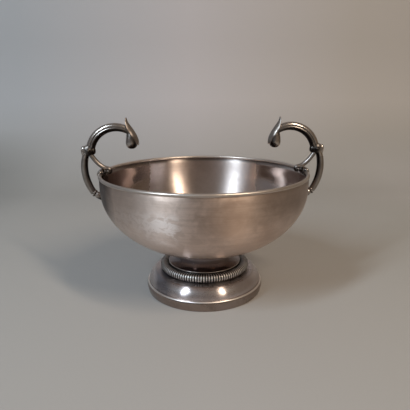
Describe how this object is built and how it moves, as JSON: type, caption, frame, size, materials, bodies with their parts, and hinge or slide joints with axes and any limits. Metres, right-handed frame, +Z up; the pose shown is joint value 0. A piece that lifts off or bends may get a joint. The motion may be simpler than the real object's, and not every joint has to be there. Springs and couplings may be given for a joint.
{
  "type": "footed cup",
  "caption": "Round silver-plated footed bowl with a gadrooned ring on the foot and a pair of upright cast scroll handles.",
  "frame": {"origin": "middle of the foot's underside, on the table", "axes": "+Z up out of the bowl, +X towards the right handle, the two handles lie on the X axis"},
  "size_m": [0.1878, 0.16, 0.1368],
  "materials": {
    "bowl_plate": "aged silver plate, polished, fine scratches and cloudy tarnish",
    "rim_plate": "aged silver plate, rubbed bright",
    "ring_plate": "aged silver plate, bright ribs and dark grooves",
    "foot_plate": "aged silver plate, polished, warm tarnish",
    "cast_plate": "aged silver plate over a casting, dark in the hollows",
    "dark_plate": "aged silver plate, dark tarnish"
  },
  "bodies": {
    "root": {"bowl_shell": "bowl_plate", "rim_wire": "rim_plate", "neck_spool": "dark_plate", "gadroon_ring": "ring_plate", "foot_dome": "foot_plate", "foot_band": "foot_plate", "handle_right_scroll": "cast_plate", "handle_right_leaf": "cast_plate", "handle_right_strut": "cast_plate", "handle_right_rim_saddle": "cast_plate", "handle_right_wall_boss": "dark_plate", "handle_left_scroll": "cast_plate", "handle_left_leaf": "cast_plate", "handle_left_strut": "cast_plate", "handle_left_rim_saddle": "cast_plate", "handle_left_wall_boss": "dark_plate"}
  },
  "joints": []
}
